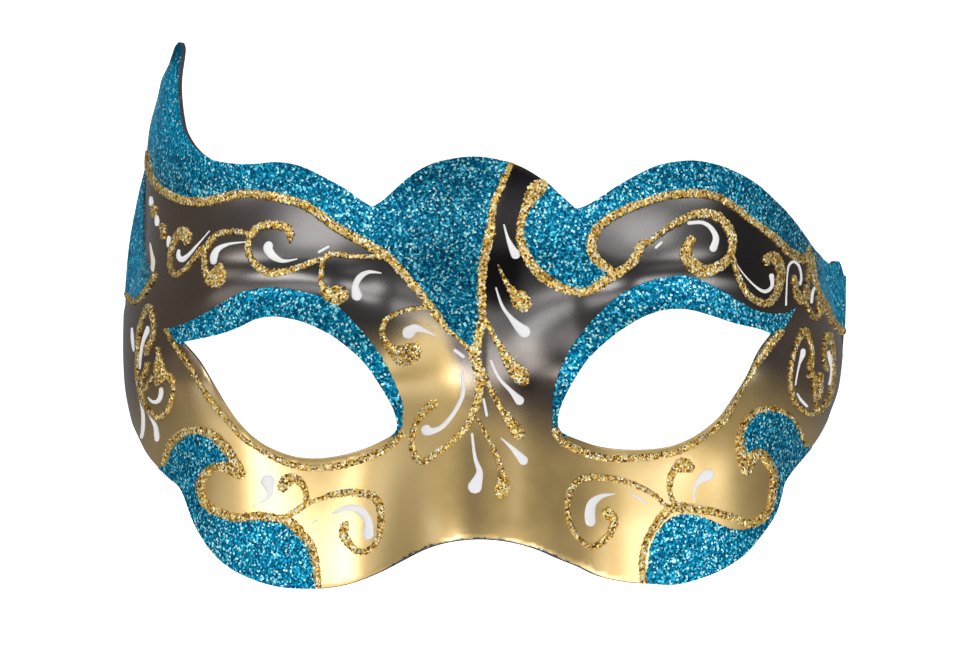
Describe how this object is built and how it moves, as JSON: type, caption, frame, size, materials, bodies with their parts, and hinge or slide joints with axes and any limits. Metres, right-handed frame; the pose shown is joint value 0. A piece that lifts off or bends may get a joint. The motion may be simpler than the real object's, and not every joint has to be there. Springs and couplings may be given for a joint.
{
  "type": "venetian half mask",
  "caption": "Thin moulded half mask with eye openings, a nose arch, a wavy top edge and one tall horn at the temple, worn over the upper face for a masquerade.",
  "frame": {"origin": "on the table, under the middle of the bounding box of the mask as it lies face up on its side rims", "axes": "+X across the face, away from the horn; +Y up the face to the forehead and the horn; +Z out of the face, up from the table"},
  "size_m": [0.1732, 0.1286, 0.0581],
  "materials": {
    "painted_shell": "satin metallic gold paint airbrushed with dark brown, with blue glitter fields, gold glitter scrolls and white brush strokes; the inside is plain matt dark plastic"
  },
  "bodies": {
    "root": {"mask_shell": "painted_shell"}
  },
  "joints": []
}
